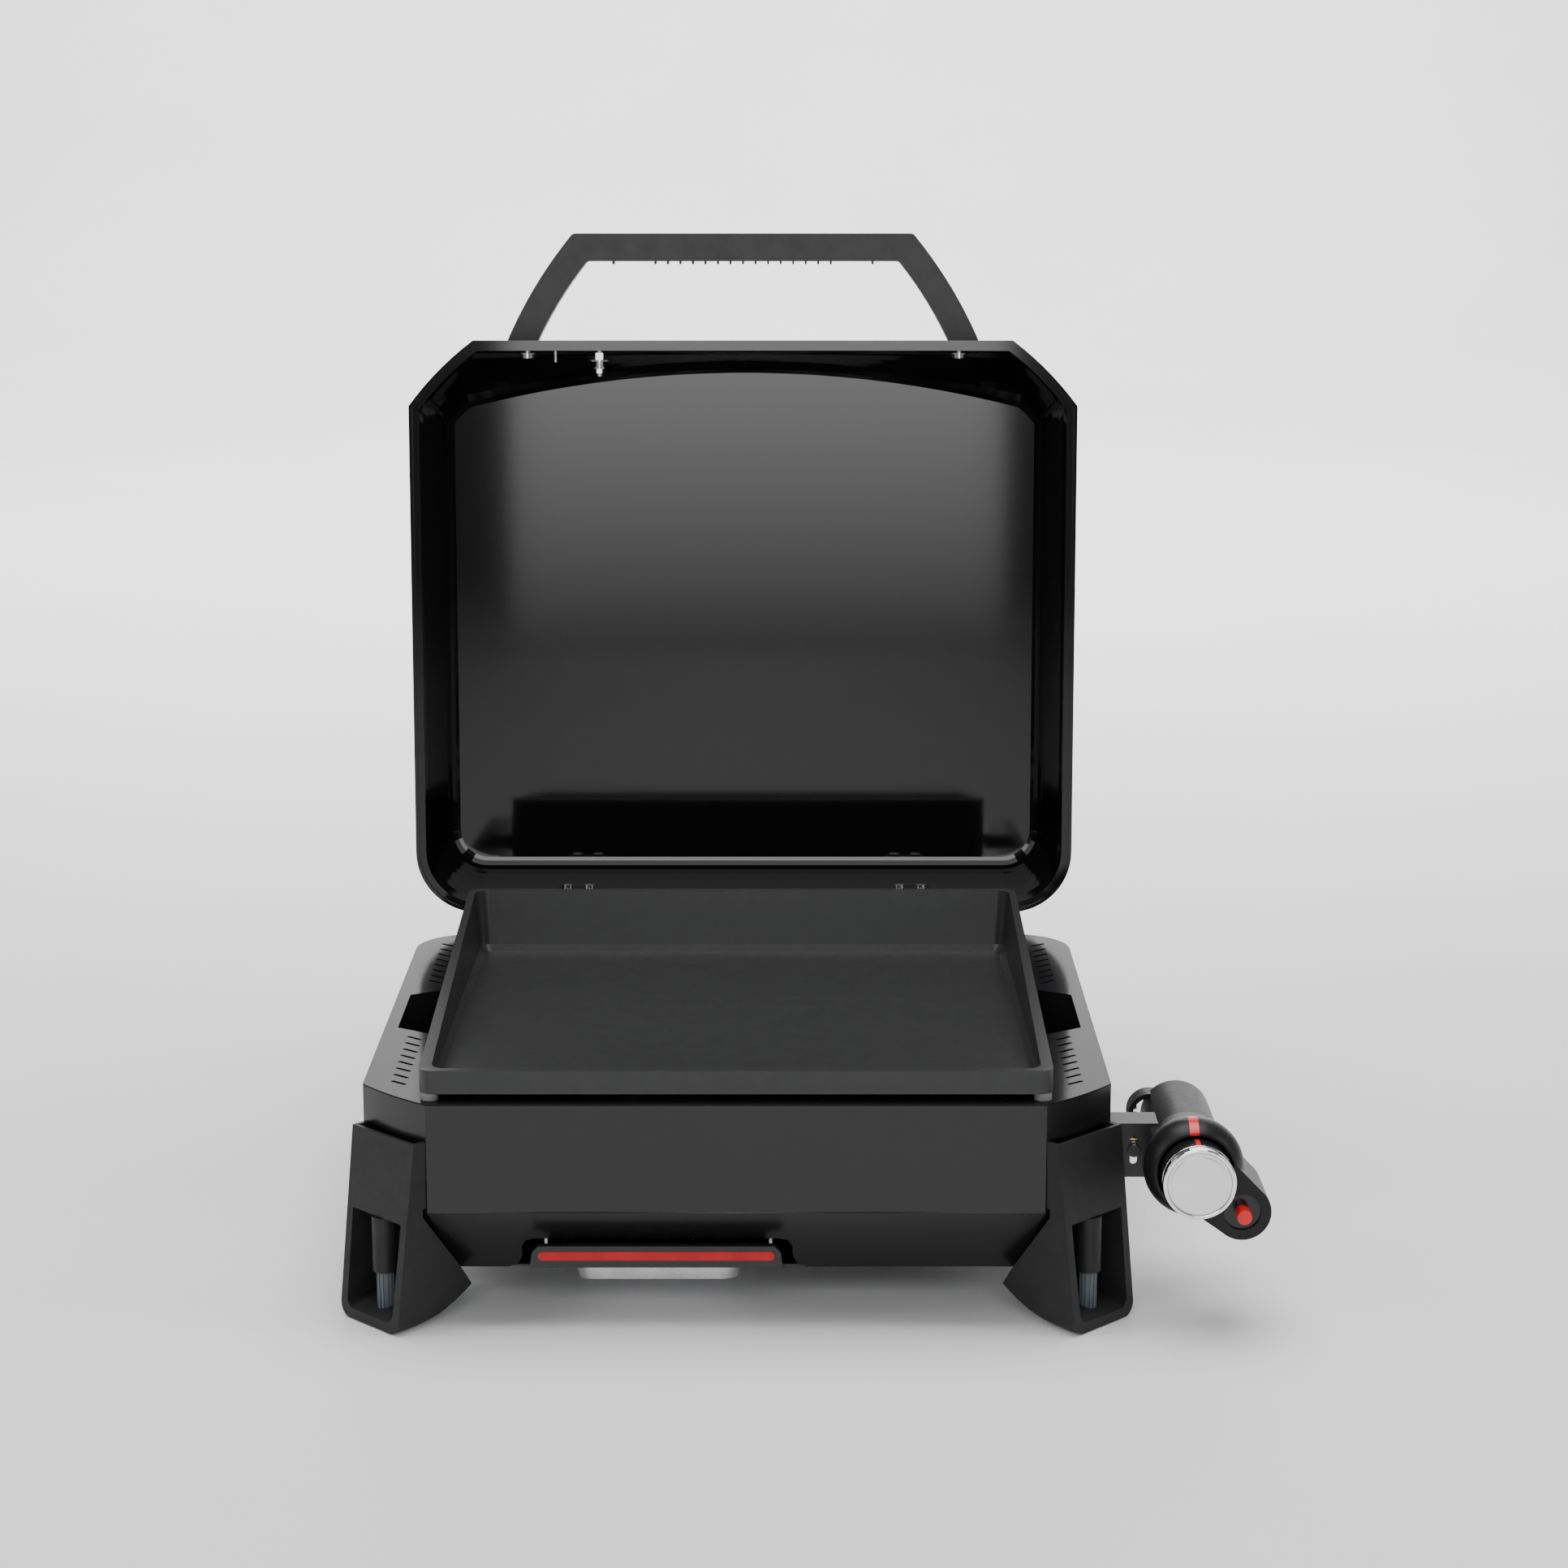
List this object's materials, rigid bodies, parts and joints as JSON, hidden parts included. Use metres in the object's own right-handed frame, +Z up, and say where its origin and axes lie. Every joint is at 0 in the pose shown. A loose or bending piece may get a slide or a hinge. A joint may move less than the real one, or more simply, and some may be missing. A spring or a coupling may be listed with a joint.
{
  "type": "tabletop gas griddle",
  "caption": "Tabletop gas griddle with a hinged lid, lift-off flat-top pan, slide-out grease tray, corner legs and a side control unit with knob and igniter.",
  "frame": {"origin": "On the table, under the middle of the whole object with its lid open.", "axes": "+Z up. The front, with the knob and the tray's handle, faces -Y. +X is to the right seen from the front, so the control unit is on the +X side."},
  "size_m": [0.6492, 0.6425, 0.725],
  "materials": {
    "lid_enamel": "gloss",
    "deck_enamel": "gloss",
    "box_enamel": "satin",
    "pan_iron": "satin",
    "leg_plastic": "matte",
    "handle_plastic": "satin",
    "housing_plastic": "satin",
    "seat_plastic": "gloss",
    "knob_plastic": "gloss",
    "knob_chrome": "polished",
    "knob_silver": "satin",
    "red_plastic": "gloss",
    "red_stripe": "satin",
    "foot_rubber": "matte",
    "pad_rubber": "matte",
    "black_steel": "satin",
    "tray_paint": "satin",
    "foil": "bright",
    "bare_steel": "bright",
    "burner_steel": "satin",
    "brass": "satin",
    "electrode_ceramic": "satin"
  },
  "bodies": {
    "base": {"cook_box": "box_enamel", "top_deck": "deck_enamel", "grip_pockets": "box_enamel", "leg_screws": "bare_steel", "hinge_bracket_left": "black_steel", "hinge_bracket_right": "black_steel", "hinge_pins": "bare_steel", "hinge_screws": "bare_steel", "tray_rails": "burner_steel", "burner_tube": "burner_steel", "burner_saddles": "burner_steel", "heat_shield": "burner_steel", "grease_chute": "burner_steel", "electrode": "electrode_ceramic", "electrode_clip": "burner_steel", "control_housing": "housing_plastic", "bezel_marker": "red_plastic", "valve_body": "brass", "diaphragm": "pad_rubber", "regulator_spring": "bare_steel", "control_bracket": "black_steel", "bracket_bolt": "black_steel", "side_screws": "bare_steel", "gas_nozzle": "brass", "inlet_collar": "brass", "inlet_seat": "brass", "outlet_guard": "housing_plastic", "guard_plug": "bare_steel", "igniter_arm": "housing_plastic", "igniter_seat": "seat_plastic", "piezo_body": "housing_plastic", "side_plate": "black_steel", "rubber_feet": "foot_rubber", "leg_front_left": "leg_plastic", "leg_front_right": "leg_plastic", "leg_rear_left": "leg_plastic", "leg_rear_right": "leg_plastic"},
    "lid": {"lid_shell": "lid_enamel", "lid_handle": "handle_plastic", "handle_pads": "pad_rubber", "handle_screws": "bare_steel", "lid_badge": "bare_steel", "badge_stud": "bare_steel", "badge_washer": "bare_steel", "badge_nut": "bare_steel", "badge_pin": "bare_steel", "hinge_strap_left": "black_steel", "hinge_strap_right": "black_steel", "strap_plates": "black_steel", "strap_screws": "bare_steel"},
    "griddle": {"griddle_plate": "pan_iron", "griddle_feet": "pad_rubber"},
    "tray": {"tray_frame": "tray_paint", "tray_handle": "tray_paint", "tray_stripe": "red_stripe", "foil_liner": "foil"},
    "knob": {"knob_barrel": "knob_plastic", "knob_rim": "knob_chrome", "knob_face": "knob_silver"},
    "button": {"igniter_button": "red_plastic"}
  },
  "joints": [
    {"name": "lid_hinge", "type": "hinge", "parent": "base", "child": "lid", "pos_m": [0, 0.1852, 0.1593], "axis": [1, 0, 0], "range_deg": [0, 93]},
    {"name": "griddle_lift", "type": "slide", "parent": "base", "child": "griddle", "axis": [0, 0, -1], "range_m": [-0.15, 0]},
    {"name": "tray_slide", "type": "slide", "parent": "base", "child": "tray", "axis": [0, -1, 0], "range_m": [0, 0.15]},
    {"name": "knob_turn", "type": "hinge", "parent": "base", "child": "knob", "pos_m": [0.2718, -0.3214, 0.116], "axis": [0, -1, 0], "range_deg": [0, 180]},
    {"name": "igniter_press", "type": "slide", "parent": "base", "child": "button", "axis": [0, 1, 0], "range_m": [0, 0.004], "stiffness_N_per_m": 1500, "springref_m": -0.003}
  ]
}
